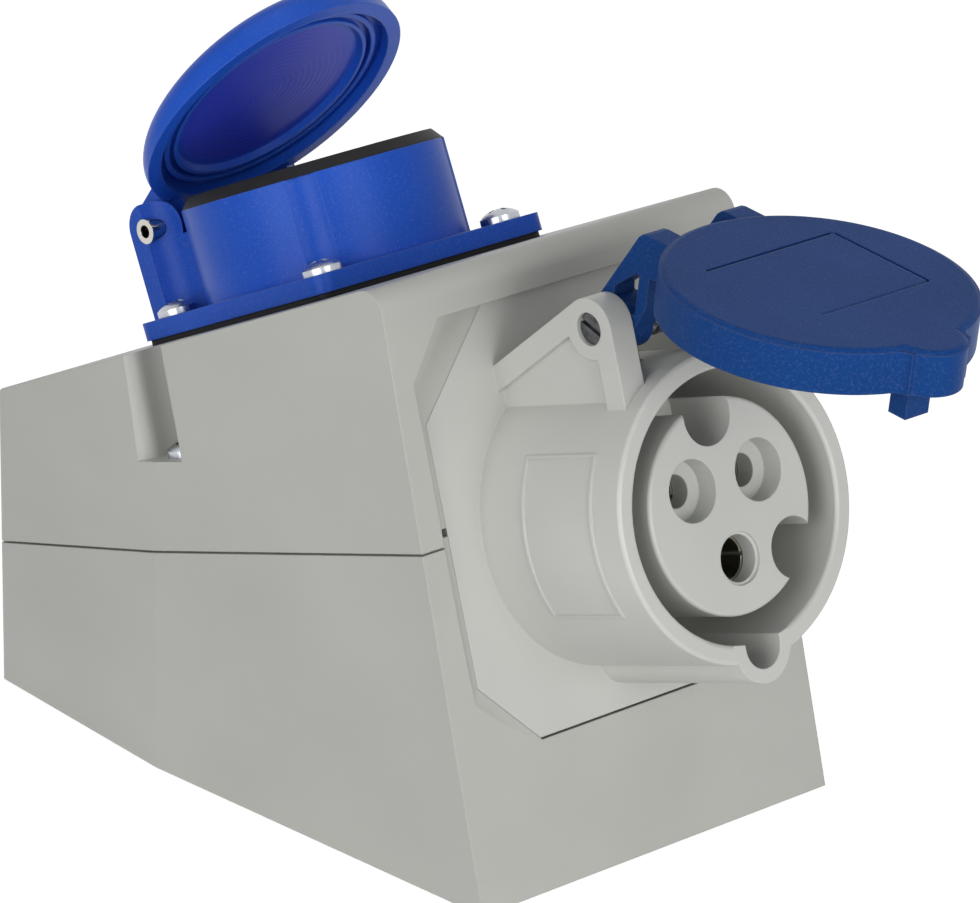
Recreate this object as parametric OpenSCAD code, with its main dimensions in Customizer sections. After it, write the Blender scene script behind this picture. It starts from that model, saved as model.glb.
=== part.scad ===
// Surface-mounted wall socket box with two outlets.
// It lies on its back plate: z = 0 is the wall, +Z points out of the wall.
// +X points to the tilted end face that carries the round three-pin socket.
// The origin is the centre of the back plate.

/* [Box] */
// Length of the back plate
base_length = 132; // [130:1:150]
// Width of the back plate
base_width = 81; // [81:0.5:90]
// Width of the small end
small_end_width = 69.5; // [60:0.5:76]
// Length over which the sides taper towards the small end
taper_length = 49.5; // [40:0.5:52]
// Length of the tilted end face, from the back plate to its top edge
end_face_length = 106; // [104:1:112]
// Tilt of the end face away from the wall's normal, in degrees
end_face_tilt = 14.5; // [13:0.5:16]
// Slope of the front cover, in degrees
cover_slope = 24.5; // [23:0.5:26]
// Wall thickness of both mouldings
wall = 2.5; // [2.2:0.1:3]
// Radius of the long corner edges
corner_radius = 1.8; // [1:0.1:4]
// Radius of the edge between the end face and the cover
top_edge_radius = 4; // [3:0.5:6]

/* [Joint between rear housing and cover] */
// Height of the joint above the wall, at the end face
parting_height = 59; // [55:0.5:62]
// Slope of the joint, in degrees
parting_slope = 15.9; // [14:0.1:18]
// Height of the lip that locates the cover
lip_height = 1.6; // [1.2:0.1:2.5]
// Thickness of the sealing cord on the lip
seal_height = 1.4; // [1:0.1:2]
// Width of the open line between the two mouldings
joint_gap = 0.4; // [0:0.1:0.8]

/* [Wall fixing and cable entry] */
// Distance between the wall screws along the box
fixing_length = 104; // [96:1:106]
// Distance between the wall screws across the box
fixing_width = 46; // [36:1:48]
// Diameter of the wall screw holes
fixing_hole = 5.2; // [4.2:0.1:6]
// Diameter of the cable entry
entry_hole = 16.5; // [12:0.5:18]
// Diameter of the hole in the cable entry's membrane
cable_hole = 8; // [6:0.5:10]
// Height of the cable entry above the wall
entry_height = 13.5; // [12.5:0.5:14]

/* [Cover screws] */
// Distance of the pockets from the end face, along the joint
pocket_place = 63; // [61:0.5:66]
// Width of a pocket
pocket_width = 10.5; // [9:0.5:12]
// Depth of a pocket, from the side of the box inwards
pocket_depth = 10.8; // [10:0.1:11.5]
// Height of the pocket's floor above the joint
pocket_floor = 16; // [12:0.5:18]
// Head diameter of a cover screw
cover_screw_head = 6.8; // [6:0.1:7.6]
// Shank diameter of a cover screw
cover_screw_shank = 3.5; // [3:0.1:4]

/* [Round socket plate] */
// Height of the socket's axis above the wall, along the end face
socket_height = 59; // [58:0.5:62]
// Tilt of the socket's axis, in degrees
socket_tilt = 17; // [16:0.5:18]
// Face beside the plate, from the plate to the box's side
plate_margin = 7.5; // [6.5:0.1:8.5]
// Reach of the plate above the axis
plate_above = 38.8; // [37:0.1:40]
// Reach of the plate below the axis
plate_below = 33.6; // [33:0.1:36]
// Distance of the plate's cut corners from the axis
plate_corner = 39.1; // [37:0.1:41]
// Depth of the plate's face behind the middle of the end face
plate_depth = 1.5; // [1:0.1:2]
// Depth of the seat that carries the plate's flange
seat_depth = 6.5; // [6:0.1:7.5]
// Width of the plate's hidden flange around it
flange_margin = 2.5; // [2:0.1:2.8]
// Thickness of the sealing frame under the flange
plate_gasket = 1; // [0.8:0.1:1.5]

/* [Round socket collar] */
// Outer radius of the collar
collar_radius = 26; // [25.5:0.1:27]
// Inner radius of the collar
collar_bore = 22.75; // [22.5:0.05:23.2]
// Reach of the collar's rim
collar_reach = 32.5; // [31:0.5:35]
// Half width of the keyway inside the collar
keyway_half = 3.9; // [3.5:0.1:4.2]
// Wall around the keyway
keyway_wall = 2.4; // [2:0.1:2.6]
// Radius of the contact insert
insert_radius = 18.05; // [17.5:0.05:18.2]
// Depth of the insert's face behind the collar's rim
insert_setback = 1.5; // [1:0.1:3]
// Radius of the circle that the contacts stand on
contact_circle = 8.75; // [8.5:0.05:9]
// Bore of the line and neutral contacts
pin_bore = 5; // [4.6:0.1:5.2]
// Bore of the earth contact
earth_bore = 7.1; // [6.8:0.1:7.3]

/* [Round socket lid] */
// Distance of the hinge above the socket's axis
hinge_rise = 33.6; // [33.4:0.1:35]
// Distance of the hinge in front of the socket's base plane
hinge_reach = 23.5; // [22.5:0.5:24.5]
// Radius of the hinge pin
hinge_pin = 1.9; // [1.6:0.1:2.1]
// Outer face of the hinge ears, from the middle
ear_outer = 16.5; // [16:0.1:17.5]
// Thickness of a hinge ear
ear_thick = 5; // [4.5:0.1:5.4]
// Radius of the round head of an ear
ear_radius = 5.2; // [4.8:0.1:5.5]
// Radius of the lid
lid_radius = 25.9; // [25.5:0.1:26.5]
// Height of the lid
lid_height = 7.65; // [7.4:0.05:10]
// Angle of the lid from closed, in degrees
lid_open = 65.7; // [40:0.1:90]

/* [Flush socket] */
// Distance of the flush socket's centre from the cover's top edge
flush_place = 57.5; // [56:0.5:60]
// Side of the square flange
flush_side = 52; // [49:0.5:54]
// Distance between the flange's screws
flush_pitch = 41; // [40:0.5:42]
// Thickness of the flange
flush_flange = 3.2; // [2.5:0.1:4]
// Thickness of the seal under the flange
flush_gasket_thick = 1; // [0.8:0.1:1.5]
// Radius of the raised collar
flush_collar = 23.5; // [23.2:0.1:23.6]
// Height of the collar's rim above the cover
flush_reach = 21; // [18:0.1:22]
// Radius of the plug well
flush_well = 20; // [19.8:0.1:20.4]
// Depth of the plug well
flush_well_depth = 17.8; // [15:0.1:18]
// Distance between the two pin holes
pin_spacing = 19; // [18.8:0.1:19.2]

/* [Flush socket lid] */
// Distance of the hinge from the socket's centre
flap_hinge = 25.6; // [25.5:0.1:26.2]
// Depth of the hinge below the collar's rim
flap_hinge_drop = 1.6; // [1.2:0.1:2]
// Outer face of the hinge posts, from the middle
post_outer = 18.2; // [17.8:0.1:19]
// Radius of the lid
flap_radius = 25.8; // [25.4:0.1:26.2]
// Height of the lid at its middle
flap_height = 5.1; // [4.9:0.1:6]
// Slope of the lid's back, thinner at the hinge, in degrees
flap_slope = 3.4; // [2:0.1:4]
// Angle of the lid from closed, in degrees
flap_open = 29.8; // [20:0.1:60]

/* [Hidden] */
$fn = 72;

// Longer than any side of the box
far = 200;
// Overlap that makes a cut or a join certain
bite = 0.5;
// Fit of one moulding in another
fit = 0.2;
// Fit of a shank or tube in its hole
slide = 0.08;

grey = [0.74, 0.74, 0.73];
light_grey = [0.80, 0.80, 0.79];
blue = [0.05, 0.25, 0.62];
flush_blue = [0.13, 0.28, 0.70];
black = [0.10, 0.10, 0.10];
steel = [0.75, 0.76, 0.78];
brass = [0.80, 0.66, 0.32];

plate_width = base_width - 2 * plate_margin;

// Frames of the three faces
top_x = base_length / 2 - end_face_length * sin(end_face_tilt);
top_z = end_face_length * cos(end_face_tilt);
socket_x = base_length / 2 - socket_height * sin(end_face_tilt);
socket_z = socket_height * cos(end_face_tilt);
flush_x = top_x - flush_place * cos(cover_slope);
flush_z = top_z - flush_place * sin(cover_slope);
parting_x = base_length / 2 - parting_height * tan(end_face_tilt);

module at_end_face() {
    translate([base_length / 2, 0, 0]) rotate([0, -end_face_tilt, 0]) children();
}

// +Z along the socket's axis, +X down to the keyway
module at_socket() {
    translate([socket_x, 0, socket_z]) rotate([0, 90 - socket_tilt, 0]) children();
}

// +Z out of the cover, +X uphill
module at_flush() {
    translate([flush_x, 0, flush_z]) rotate([0, -cover_slope, 0]) children();
}

// +Z square to the joint, origin on the joint at the end face
module at_parting() {
    translate([parting_x, 0, parting_height]) rotate([0, -parting_slope, 0]) children();
}

// Outline of the box, each face moved in by inset

function end_x(z, inset) =
    base_length / 2 - z * tan(end_face_tilt) - inset / cos(end_face_tilt);

function cover_z(x, inset) =
    top_z + (x - top_x) * tan(cover_slope) - inset / cos(cover_slope);

function top_corner(inset) =
    let (k = tan(end_face_tilt))
    let (x = (end_x(0, inset) - k * cover_z(0, inset)) / (1 + k * tan(cover_slope)))
    [x, cover_z(x, inset)];

function low_corner(inset) =
    let (x = -base_length / 2 + inset)
    [x, cover_z(x, inset)];

taper_angle = atan((base_width - small_end_width) / 2 / taper_length);

function plan_corner(inset) = [
    -base_length / 2 + inset,
    small_end_width / 2 + inset * tan(taper_angle) - inset / cos(taper_angle)
];

function fold_point(inset) =
    let (low = plan_corner(inset))
    [low[0] + (base_width / 2 - inset - low[1]) / tan(taper_angle), base_width / 2 - inset];

// The bit outside a rounded corner whose faces have the normals a and b
module corner_bit(centre, a, b, corner, r) {
    difference() {
        polygon([centre, centre + (r + 1) * a, corner, centre + (r + 1) * b]);
        translate(centre) circle(r);
    }
}

module side_profile(inset) {
    r = top_edge_radius;
    difference() {
        polygon([
            [-base_length / 2 + inset, inset], [end_x(inset, inset), inset],
            top_corner(inset), low_corner(inset)
        ]);
        corner_bit(
            top_corner(r), [cos(end_face_tilt), sin(end_face_tilt)],
            [-sin(cover_slope), cos(cover_slope)], top_corner(inset - 1), max(r - inset, 0.3));
        corner_bit(
            low_corner(r), [-1, 0],
            [-sin(cover_slope), cos(cover_slope)], low_corner(inset - 1), max(r - inset, 0.3));
    }
}

module plan_half(inset) {
    r = corner_radius;
    difference() {
        polygon([
            [-base_length / 2 + inset, 0], plan_corner(inset), fold_point(inset),
            [far, base_width / 2 - inset], [far, 0]
        ]);
        corner_bit(
            plan_corner(r), [-1, 0],
            [-sin(taper_angle), cos(taper_angle)], plan_corner(inset - 1), max(r - inset, 0.3));
    }
}

module end_plan(inset) {
    r = max(corner_radius, inset + 0.3);
    half = base_width / 2;
    translate([-far, inset - half]) square([far - r, base_width - 2 * inset]);
    translate([-far, r - half]) square([far - inset, base_width - 2 * r]);
    for (y = [r - half, half - r]) translate([-r, y]) circle(r - inset);
}

module envelope(inset) {
    intersection() {
        rotate([90, 0, 0]) linear_extrude(2 * far, center = true) side_profile(inset);
        linear_extrude(far) {
            plan_half(inset);
            mirror([0, 1]) plan_half(inset);
        }
        at_end_face() translate([0, 0, -far]) linear_extrude(2 * far) end_plan(inset);
    }
}

module below_joint(offset = 0) {
    at_parting() translate([-far, -far / 2, offset - far]) cube([1.5 * far, far, far]);
}

module above_joint(offset = 0) {
    at_parting() translate([-far, -far / 2, offset]) cube([1.5 * far, far, far]);
}

module joint_slab(low, high) {
    at_parting() translate([-far, -far / 2, low]) cube([1.5 * far, far, high - low]);
}

// The lip stands on the inner half of the wall
lip_inset = wall / 2 + 0.1;
seal_top = lip_height + seal_height;

// Round-cornered rectangle from x0 to x1, half wide each way
module soft_rect(x0, x1, half, r) {
    translate([x0 + r, -half]) square([x1 - x0 - 2 * r, 2 * half]);
    translate([x0, r - half]) square([x1 - x0, 2 * (half - r)]);
    for (x = [x0 + r, x1 - r], y = [r - half, half - r]) translate([x, y]) circle(r);
}

// Rectangle with cut corners, moved out by ends along the plate and by sides elsewhere
module plate_outline(ends, sides) {
    half = plate_width / 2 + sides;
    cut = (plate_corner + sides) * sqrt(2);
    top = plate_above + ends;
    low = plate_below + ends;
    polygon([
        [-top, top - cut], [half - cut, -half], [cut - half, -half], [low, low - cut],
        [low, cut - low], [cut - half, half], [half - cut, half], [-top, cut - top]
    ]);
}

// Open line at the plate's upper and lower edge, and along its sides
plate_gap_ends = 0.4;
plate_gap_sides = 0.06;

flange_corner = 5;

module flange_outline(grow = 0) {
    soft_rect(
        -plate_above - flange_margin - grow, plate_below + flange_margin + grow,
        plate_width / 2 + flange_margin + grow, flange_corner);
}

// Soft mouth of the opening, from the plate's face outwards
flare_depth = 3.4;
flare_width = 5;
flare_cut_width = 11;

module plate_opening() {
    at_socket() {
        translate([0, 0, -seat_depth - 1]) linear_extrude(far) plate_outline(plate_gap_ends, plate_gap_sides);
        translate([0, 0, -plate_depth]) flare();
    }
}

// Rounded fall towards the plate along its sides and its cut corners
module flare() {
    intersection() {
        flare_pair(0, plate_width / 2 + plate_gap_sides, flare_width);
        flare_pair(45, plate_corner + plate_gap_sides, flare_cut_width);
        flare_pair(-45, plate_corner + plate_gap_sides, flare_cut_width);
        translate([-plate_above - plate_gap_ends, -base_width, 0])
            cube([plate_above + plate_below + 2 * plate_gap_ends, 2 * base_width, flare_depth]);
    }
}

// Slot of a half width that opens outwards over an S-shaped edge on each side
module flare_pair(turn, half, width) {
    edge = half + width;
    r = (width * width + flare_depth * flare_depth) / (4 * flare_depth);
    rotate([0, 0, turn]) rotate([90, 0, 90]) linear_extrude(far, center = true) difference() {
        translate([-edge, 0]) square([2 * edge, flare_depth]);
        for (side = [0, 1]) mirror([side, 0]) {
            translate([edge, flare_depth - r]) circle(r);
            difference() {
                translate([half, 0]) square([width / 2, flare_depth / 2]);
                translate([half, r]) circle(r);
            }
        }
    }
}

flange_screw_x = plate_below - 1.4;
flange_screw_y = plate_width / 2 - 1.2;

module at_flange_screws() {
    at_socket() for (y = [-flange_screw_y, flange_screw_y])
        translate([flange_screw_x, y, 0]) children();
}

flange_screw_shank = 1.4;
flange_thick = 2.5;
flange_front = -seat_depth - plate_gasket;
flange_back = flange_front - flange_thick;

// Thickened rim behind the end face that the plate's flange sits on
module plate_seat() {
    intersection() {
        envelope(wall / 2);
        at_socket() translate([0, 0, -seat_depth]) linear_extrude(far) flange_outline();
    }
}

// Screw columns stand at the pockets, square to the joint
pocket_y = base_width / 2 - pocket_depth + pocket_width / 2;
column_radius = cover_screw_shank / 2 + 2.6;

module at_columns() {
    for (side = [-1, 1]) at_parting() translate([-pocket_place, side * pocket_y, 0]) children();
}

module pockets() {
    for (side = [0, 1]) mirror([0, side, 0]) at_parting()
        translate([-pocket_place, pocket_y, pocket_floor]) linear_extrude(far) {
            circle(pocket_width / 2);
            translate([-pocket_width / 2, 0]) square([pocket_width, far]);
            pocket_mouth();
        }
}

// Rounding of the pocket's lower edge, towards the small end
mouth_radius = 3.4;

module pocket_mouth() {
    edge_y = base_width / 2 - pocket_y;
    edge_x = -pocket_width / 2;
    difference() {
        translate([edge_x - mouth_radius, edge_y - mouth_radius - 0.4]) square([mouth_radius + bite, far]);
        translate([edge_x - mouth_radius, edge_y - mouth_radius - 0.4]) circle(mouth_radius);
    }
}

pocket_wall = 2;

module pocket_walls() {
    for (side = [0, 1]) mirror([0, side, 0]) at_parting()
        translate([-pocket_place, pocket_y, pocket_floor - wall]) linear_extrude(far) {
            circle(pocket_width / 2 + pocket_wall);
            translate([-pocket_width / 2 - pocket_wall - mouth_radius, 0])
                square([pocket_width + 2 * pocket_wall + mouth_radius, far]);
        }
}

// Rear housing

fixing_boss = 2;

module rear_housing() {
    color(grey) difference() {
        union() {
            difference() {
                intersection() {
                    envelope(0);
                    below_joint();
                }
                envelope(wall);
            }
            intersection() {
                difference() {
                    envelope(lip_inset);
                    envelope(wall);
                }
                joint_slab(-bite, lip_height);
            }
            intersection() {
                plate_seat();
                below_joint();
            }
            intersection() {
                at_columns() translate([0, 0, -far]) cylinder(h = far, r = column_radius);
                envelope(wall / 2);
            }
            for (x = [-1, 1], y = [-1, 1]) translate([x * fixing_length / 2, y * fixing_width / 2, 0])
                cylinder(h = wall + fixing_boss, d = fixing_hole + 5);
            translate([-base_length / 2 + wall / 2, 0, entry_height]) rotate([0, 90, 0])
                cylinder(h = wall / 2 + 1, d = entry_hole + 4);
        }
        plate_opening();
        at_flange_screws() translate([0, 0, -seat_depth - 1])
            cylinder(h = 1 + seat_depth - plate_depth - 1.2, r = flange_screw_shank + slide);
        at_columns() translate([0, 0, -cover_screw_grip - 1]) cylinder(h = far, d = cover_screw_shank + 2 * slide);
        for (x = [-1, 1], y = [-1, 1]) translate([x * fixing_length / 2, y * fixing_width / 2, -1])
            cylinder(h = far / 4, d = fixing_hole);
        translate([-base_length / 2 - 1, 0, entry_height]) rotate([0, 90, 0])
            cylinder(h = wall + 4, d = entry_hole);
    }
}

// Front cover

flush_hole = 22.3;
flush_boss = 4;
flush_screw_shank = 1.7;
flush_screw_grip = 6;

module at_flush_screws() {
    half = flush_pitch / 2;
    at_flush() for (x = [-half, half], y = [-half, half]) translate([x, y, 0]) children();
}

module front_cover() {
    color(grey) difference() {
        union() {
            difference() {
                intersection() {
                    union() {
                        difference() {
                            envelope(0);
                            envelope(wall);
                        }
                        intersection() {
                            envelope(wall / 2);
                            pocket_walls();
                        }
                        plate_seat();
                    }
                    above_joint(joint_gap);
                }
                intersection() {
                    envelope(lip_inset - 0.1);
                    joint_slab(-1, seal_top);
                }
            }
            intersection() {
                at_columns() cylinder(h = pocket_floor - bite, r = column_radius);
                union() {
                    envelope(wall + fit);
                    intersection() {
                        envelope(wall / 2);
                        above_joint(seal_top);
                    }
                }
            }
            at_flush_screws() translate([0, 0, -wall - flush_boss])
                cylinder(h = wall / 2 + flush_boss, r = flush_screw_shank + 2);
        }
        plate_opening();
        pockets();
        at_columns() translate([0, 0, -1]) cylinder(h = far / 4, d = cover_screw_shank + 1);
        at_flush() translate([0, 0, -far / 8]) cylinder(h = far / 4, r = flush_hole);
        at_flush_screws() translate([0, 0, -flush_screw_grip])
            cylinder(h = far / 8, r = flush_screw_shank + slide);
    }
}

module housing_seal() {
    color(black) difference() {
        intersection() {
            difference() {
                envelope(lip_inset);
                envelope(wall);
            }
            joint_slab(lip_height, seal_top);
        }
        plate_opening();
        at_socket() translate([0, 0, -seat_depth]) linear_extrude(far) flange_outline();
    }
}

// Pan head with a crossed recess, its seat at z = 0 and its shank below
module pan_screw(head_d, head_h, shank_d, length) {
    rim = head_h * 0.45;
    difference() {
        union() {
            intersection() {
                cylinder(h = head_h, d = head_d);
                translate([0, 0, rim - dome_drop(head_d, head_h - rim)])
                    sphere(r = dome_drop(head_d, head_h - rim) + head_h - rim);
            }
            translate([0, 0, -length]) cylinder(h = length + bite, d = shank_d);
        }
        for (turn = [0, 90]) rotate([0, 0, turn]) translate([-head_d * 0.29, -head_d * 0.06, head_h * 0.45])
            cube([head_d * 0.58, head_d * 0.12, head_h]);
    }
}

// Depth of a dome's centre below its rim, from its width and rise
function dome_drop(width, rise) = (width * width / 4 - rise * rise) / (2 * rise);

cover_screw_grip = 9;
cover_screw_height = 2.6;

module cover_screws() {
    color(steel) at_columns() translate([0, 0, pocket_floor])
        pan_screw(cover_screw_head, cover_screw_height, cover_screw_shank, pocket_floor + cover_screw_grip);
}

module cable_grommet() {
    neck = entry_hole / 2 - slide;
    inside = wall + 1;
    color(black) translate([-base_length / 2, 0, entry_height]) rotate([0, 90, 0]) rotate_extrude()
        polygon([
            [cable_hole / 2, 3.4], [neck - 1.5, -1.4], [neck + 2, -1.4], [neck + 2.3, 0], [neck, 0],
            [neck, inside], [neck + 1.6, inside], [neck, inside + 1.6], [neck - 1.6, inside + 1.6],
            [neck - 1.6, 1], [cable_hole / 2, 4.8]
        ]);
}

// Round socket housing: plate, flange, collar and hinge ears

plate_skin = 3;
collar_floor = 1;
tube_bore = 23;
tube_radius = 25.5;
tube_back = -12;
plate_back = -plate_depth - plate_skin;
keyway_reach = 27.3;
rim_round = 0.7;

// Hinge ear outline, upwards and outwards from the socket's axis
ear_foot = 28.3;
rear_leg = 4;
front_leg = 4.5;
web_sink = 1.3;
ear_root = 16;

// Direction of the ear's rear edge, tangent to its round head
rear_run = [hinge_rise - ear_foot, hinge_reach + plate_depth];
rear_angle = atan2(rear_run[0], rear_run[1]) + asin(ear_radius / norm(rear_run));
rear_dir = [sin(rear_angle), cos(rear_angle)];
rear_out = [cos(rear_angle), -sin(rear_angle)];

module ear_profile() {
    head = [hinge_rise, hinge_reach];
    translate(head) circle(ear_radius);
    polygon([
        head + ear_radius * rear_out, [ear_foot, -plate_depth], [ear_foot - 1, -plate_depth - 1],
        [ear_root, -plate_depth - 1], [ear_root, hinge_reach + ear_radius],
        [hinge_rise, hinge_reach + ear_radius]
    ]);
}

// Sunk web between the ear's two legs
module ear_web() {
    head = [hinge_rise, hinge_reach];
    start = [ear_foot, -plate_depth] - rear_leg * rear_out;
    difference() {
        polygon([
            start - 4 * rear_dir, start + 24 * rear_dir,
            [hinge_rise, hinge_reach + ear_radius - front_leg],
            [ear_root - 1, hinge_reach + ear_radius - front_leg], [ear_root - 1, -plate_depth - 5]
        ]);
        translate(head) circle(ear_radius);
    }
}

// Stands an outline of the socket's side view upright, from y0 outwards
module ear_slab(y0, thick) {
    translate([0, y0, 0]) mirror([1, 0, 0]) rotate([90, 0, 0]) mirror([0, 0, 1])
        linear_extrude(thick) children();
}

module ears() {
    for (side = [0, 1]) mirror([0, side, 0]) difference() {
        ear_slab(ear_outer - ear_thick, ear_thick) ear_profile();
        ear_slab(ear_outer - web_sink, web_sink + 1) ear_web();
    }
}

module keyway(half, reach) {
    translate([0, -half]) square([reach - half, 2 * half]);
    translate([reach - half, 0]) circle(half);
}

// Ring profile of the collar with a rounded rim
module collar_profile() {
    translate([collar_bore, plate_back]) square([collar_radius - collar_bore, collar_reach - plate_back - rim_round]);
    translate([collar_bore + rim_round, collar_reach - 2 * rim_round])
        square([collar_radius - collar_bore - 2 * rim_round, 2 * rim_round]);
    for (x = [collar_bore + rim_round, collar_radius - rim_round])
        translate([x, collar_reach - rim_round]) circle(rim_round);
}

label_from = 237;
label_sweep = 63;
label_low = 8.8;
label_high = 25.9;
label_line = 0.7;
label_rise = 0.25;

// Raised line around a blank label field
module label_frame() {
    turn = label_line / collar_radius * 180 / PI;
    rotate([0, 0, label_from]) difference() {
        rotate_extrude(angle = label_sweep) translate([collar_radius - bite, label_low])
            square([bite + label_rise, label_high - label_low]);
        rotate([0, 0, turn]) rotate_extrude(angle = label_sweep - 2 * turn)
            translate([collar_radius - 1, label_low + label_line])
            square([2, label_high - label_low - 2 * label_line]);
    }
}

module round_socket_housing() {
    color(light_grey) at_socket() difference() {
        union() {
            translate([0, 0, flange_back]) linear_extrude(-plate_depth - flange_back) plate_outline(0, 0);
            translate([0, 0, flange_back]) linear_extrude(flange_thick) flange_outline(-fit);
            rotate_extrude() collar_profile();
            translate([0, 0, plate_back]) cylinder(h = collar_floor - plate_back, r = collar_radius - bite);
            translate([0, 0, plate_back]) linear_extrude(collar_reach - plate_back)
                keyway(keyway_half + keyway_wall, keyway_reach + keyway_wall);
            ears();
            label_frame();
        }
        difference() {
            translate([0, 0, flange_back - 1]) linear_extrude(plate_back - flange_back + 1) plate_outline(-3, -3);
            translate([0, 0, flange_back - 2]) cylinder(h = far, r = tube_radius);
        }
        translate([0, 0, flange_back - 1]) cylinder(h = plate_back - flange_back + 1, r = tube_bore);
        translate([0, 0, collar_floor]) cylinder(h = far, r = collar_bore);
        translate([0, 0, -far / 2]) cylinder(h = far, r = insert_radius + slide);
        translate([0, 0, collar_floor]) linear_extrude(far) keyway(keyway_half, keyway_reach);
        translate([-hinge_rise, 0, hinge_reach]) rotate([90, 0, 0]) {
            cylinder(h = far / 4, r = hinge_pin + slide, center = true);
            translate([0, 0, ear_outer - pin_head_sink]) cylinder(h = 10, r = pin_head + slide);
        }
        translate([-collar_radius - 1, -coil_half, hinge_reach - coil_radius]) rotate([0, 90, 0])
            cylinder(h = 2.4, r = wire_hole_radius);
        for (y = [-flange_screw_y, flange_screw_y]) translate([flange_screw_x, y, flange_back - 1])
            cylinder(h = flange_thick + 2, r = flange_screw_shank + 0.3);
        for (a = insert_screw_angles) rotate([0, 0, a]) translate([insert_screw_circle, 0, plate_back - 1])
            cylinder(h = 5, r = insert_screw_shank + slide);
    }
}

module round_socket_gasket() {
    color(black) at_socket() translate([0, 0, flange_front]) linear_extrude(plate_gasket) difference() {
        flange_outline(-fit);
        plate_outline(fit, fit);
        for (y = [-flange_screw_y, flange_screw_y]) translate([flange_screw_x, y])
            circle(flange_screw_shank + 0.3);
    }
}

module round_socket_screws() {
    color(steel) at_flange_screws() translate([0, 0, flange_back]) rotate([180, 0, 0])
        pan_screw(5.2, 1.8, 2 * flange_screw_shank, flange_thick + plate_gasket + seat_depth - plate_depth - 1.5);
}

// Contact insert, carrier and contacts

insert_front = collar_reach - insert_setback;
insert_flange = 22.5;
insert_back = plate_back - 3;
carrier_step = insert_back - 6.5;
carrier_back = carrier_step - 8;
tube_wall = 1.2;
counterbore = 5.25;
counterbore_depth = 4.2;
contact_web = 3.6;
notch_radius = 5.2;
notch_circle = 15.8;
notch_angles = [-175, 51];
notch_depth = 14;
insert_screw_circle = 20;
insert_screw_shank = 1.25;
insert_screw_angles = [-90, 90];

module at_contact(turn) {
    rotate([0, 0, turn]) translate([contact_circle, 0, 0]) children();
}

module insert_profile() {
    translate([0, plate_back]) square([insert_radius, insert_front - plate_back - rim_round]);
    translate([0, insert_front - 2 * rim_round]) square([insert_radius - rim_round, 2 * rim_round]);
    translate([insert_radius - rim_round, insert_front - rim_round]) circle(rim_round);
    translate([0, insert_back]) square([insert_flange, plate_back - insert_back]);
}

module contact_insert() {
    hole = pin_bore / 2 + 0.3;
    color(light_grey) at_socket() difference() {
        rotate_extrude() insert_profile();
        for (turn = [-120, 120]) at_contact(turn) {
            translate([0, 0, -far / 2]) cylinder(h = far, r = hole);
            translate([0, 0, insert_front - counterbore_depth]) cylinder(h = far, r = counterbore);
            translate([0, 0, -far]) cylinder(
                h = far + insert_front - counterbore_depth - contact_web,
                r = pin_bore / 2 + tube_wall + slide);
        }
        at_contact(0) {
            translate([0, 0, -far / 2]) cylinder(h = far, r = earth_bore / 2 + 0.4);
            translate([0, 0, -far]) cylinder(
                h = far + insert_front - contact_web, r = earth_bore / 2 + tube_wall + slide);
            translate([0, 0, insert_front - 0.6]) cylinder(h = 1, r = earth_bore / 2 + 0.9);
        }
        for (a = notch_angles) rotate([0, 0, a])
            translate([notch_circle, 0, insert_front - notch_depth]) cylinder(h = far, r = notch_radius);
        for (a = insert_screw_angles) rotate([0, 0, a]) translate([insert_screw_circle, 0, insert_back - 1])
            cylinder(h = 5, r = insert_screw_shank + 0.25);
    }
}

module contact_carrier() {
    color(black) at_socket() difference() {
        union() {
            translate([0, 0, carrier_step]) cylinder(h = insert_back - carrier_step, r = insert_flange);
            translate([0, 0, carrier_back]) cylinder(h = carrier_step - carrier_back + bite, r = 16.5);
        }
        for (turn = [-120, 120]) at_contact(turn) translate([0, 0, -far / 2])
            cylinder(h = far, r = pin_bore / 2 + tube_wall + slide);
        at_contact(0) translate([0, 0, -far / 2])
            cylinder(h = far, r = earth_bore / 2 + tube_wall + slide);
        for (a = insert_screw_angles) rotate([0, 0, a]) translate([insert_screw_circle, 0, carrier_step - 1])
            cylinder(h = 10, r = insert_screw_shank + 0.25);
    }
}

module insert_screws() {
    color(steel) at_socket() for (a = insert_screw_angles) rotate([0, 0, a])
        translate([insert_screw_circle, 0, carrier_step]) rotate([180, 0, 0])
        pan_screw(4.6, 1.6, 2 * insert_screw_shank, insert_back - carrier_step + 3 + 3.5);
}

terminal_length = 9;
terminal_radius = 5;
terminal_screw = 1.5;
wire_hole = 1.9;

// Tube contact with a screw terminal behind the carrier
module tube_contact(bore, front) {
    back = carrier_back - terminal_length;
    difference() {
        union() {
            translate([0, 0, carrier_back - bite]) cylinder(h = front - carrier_back + bite, r = bore / 2 + tube_wall);
            translate([0, 0, back]) cylinder(h = terminal_length, r = terminal_radius);
        }
        cylinder(h = far, r = bore / 2);
        translate([0, 0, back - 1]) cylinder(h = terminal_length - 1, r = wire_hole);
        translate([0, 0, back + terminal_length / 2]) rotate([0, 90, 0])
            cylinder(h = 20, r = terminal_screw + slide);
        for (turn = [0, 90]) rotate([0, 0, turn]) translate([-far / 2, -0.3, front - 12]) cube([far, 0.6, far]);
    }
}

module line_contact() {
    color(brass) at_socket() at_contact(-120)
        tube_contact(pin_bore, insert_front - counterbore_depth - contact_web - 0.1);
}

module neutral_contact() {
    color(brass) at_socket() at_contact(120)
        tube_contact(pin_bore, insert_front - counterbore_depth - contact_web - 0.1);
}

module earth_contact() {
    color(brass) at_socket() at_contact(0)
        tube_contact(earth_bore, insert_front - contact_web - 0.1);
}

module terminal_screws() {
    color(steel) at_socket() for (turn = [-120, 0, 120]) at_contact(turn)
        translate([terminal_radius, 0, carrier_back - terminal_length / 2]) rotate([0, 90, 0])
        pan_screw(4.4, 1.5, 2 * terminal_screw, terminal_radius - wire_hole + 0.6);
}

// Round lid, drawn closed and then swung open about its pin

lid_gap = 0.4;
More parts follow.
